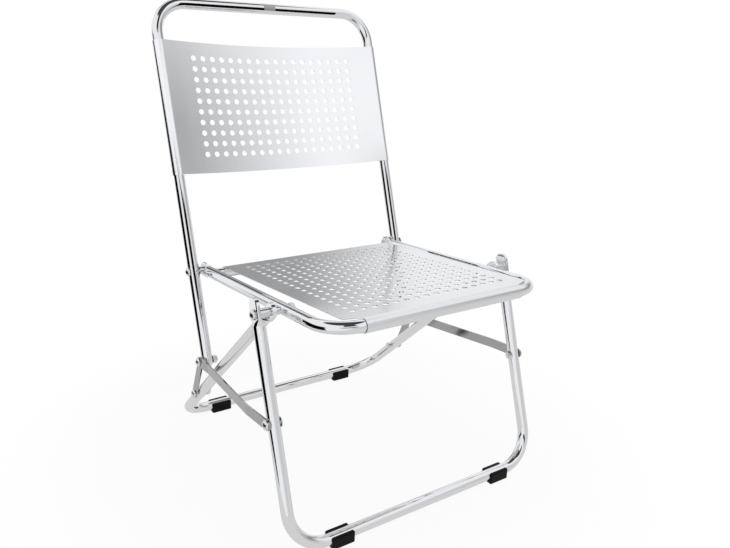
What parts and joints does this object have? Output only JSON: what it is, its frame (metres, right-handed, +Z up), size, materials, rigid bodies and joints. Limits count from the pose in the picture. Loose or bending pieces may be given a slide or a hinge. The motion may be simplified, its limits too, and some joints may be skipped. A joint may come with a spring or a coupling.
{
  "type": "folding chair",
  "caption": "Folding chair of polished steel tube with a perforated sheet seat and back, hinged legs, flat side straps and plastic feet.",
  "frame": {"origin": "on the floor under the middle of the open chair's outline", "axes": "+Z up, the chair faces -Y, +X towards its left-hand side as seen by someone sitting"},
  "size_m": [0.5242, 0.586, 0.7888],
  "materials": {
    "tube": "polished",
    "sheet": "satin",
    "bar": "polished",
    "fastener": "polished",
    "foot": "matte",
    "plate": "satin"
  },
  "bodies": {
    "seat": {"seat_frame_tube": "tube", "seat_rear_crossbar": "tube", "seat_panel": "sheet", "back_pivot_bolts": "fastener", "back_pivot_nuts": "fastener", "back_pivot_spacers": "fastener", "leg_pivot_bolts": "fastener", "leg_pivot_nuts": "fastener", "leg_pivot_inner_spacers": "fastener", "leg_pivot_outer_spacers": "fastener", "leg_pivot_washers": "fastener"},
    "back": {"back_frame_tube": "tube", "back_panel": "sheet", "blank_badge_plate": "plate", "tail_bolts": "fastener", "tail_cap_nuts": "fastener", "tail_washers": "fastener"},
    "front_legs": {"front_leg_frame": "tube", "front_right_foot": "foot", "front_left_foot": "foot", "strap_rivets": "fastener"},
    "rear_legs": {"rear_leg_frame": "tube", "rear_right_foot": "foot", "rear_left_foot": "foot", "link_studs": "fastener", "link_stud_nuts": "fastener", "link_stud_washers": "fastener"},
    "right_strap": {"right_strap": "bar"},
    "left_strap": {"left_strap": "bar"},
    "right_link": {"right_link": "bar", "right_link_bolt_head": "fastener"},
    "left_link": {"left_link": "bar", "left_link_bolt_head": "fastener"}
  },
  "joints": [
    {"name": "back_fold", "type": "hinge", "parent": "seat", "child": "back", "pos_m": [0, 0.13748, 0.3299], "axis": [1, 0, 0], "range_deg": [0, 91.8]},
    {"name": "front_leg_fold", "type": "hinge", "parent": "seat", "child": "front_legs", "pos_m": [0, -0.15181, 0.35013], "axis": [1, 0, 0], "range_deg": [0, 91.8]},
    {"name": "rear_leg_fold", "type": "hinge", "parent": "seat", "child": "rear_legs", "pos_m": [0, -0.15181, 0.35013], "axis": [1, 0, 0], "range_deg": [0, 29.7]},
    {"name": "left_strap_turn", "type": "hinge", "parent": "back", "child": "left_strap", "pos_m": [0, 0.08804, 0.17773], "axis": [1, 0, 0], "range_deg": [-91.8, 0]},
    {"name": "left_link_turn", "type": "hinge", "parent": "back", "child": "left_link", "pos_m": [0, 0.08804, 0.17773], "axis": [1, 0, 0], "range_deg": [-193.4, 0]},
    {"name": "right_strap_turn", "type": "hinge", "parent": "back", "child": "right_strap", "pos_m": [0, 0.08804, 0.17773], "axis": [1, 0, 0], "range_deg": [-91.8, 0]},
    {"name": "right_link_turn", "type": "hinge", "parent": "back", "child": "right_link", "pos_m": [0, 0.08804, 0.17773], "axis": [1, 0, 0], "range_deg": [-193.4, 0]}
  ],
  "couplings": [
    {"joint": "front_leg_fold", "follows": "back_fold", "ratio": 1},
    {"joint": "rear_leg_fold", "follows": "back_fold", "ratio": 0.32209},
    {"joint": "left_strap_turn", "follows": "back_fold", "ratio": -1},
    {"joint": "left_link_turn", "follows": "back_fold", "ratio": -2.1057},
    {"joint": "right_strap_turn", "follows": "back_fold", "ratio": -1},
    {"joint": "right_link_turn", "follows": "back_fold", "ratio": -2.1057}
  ]
}
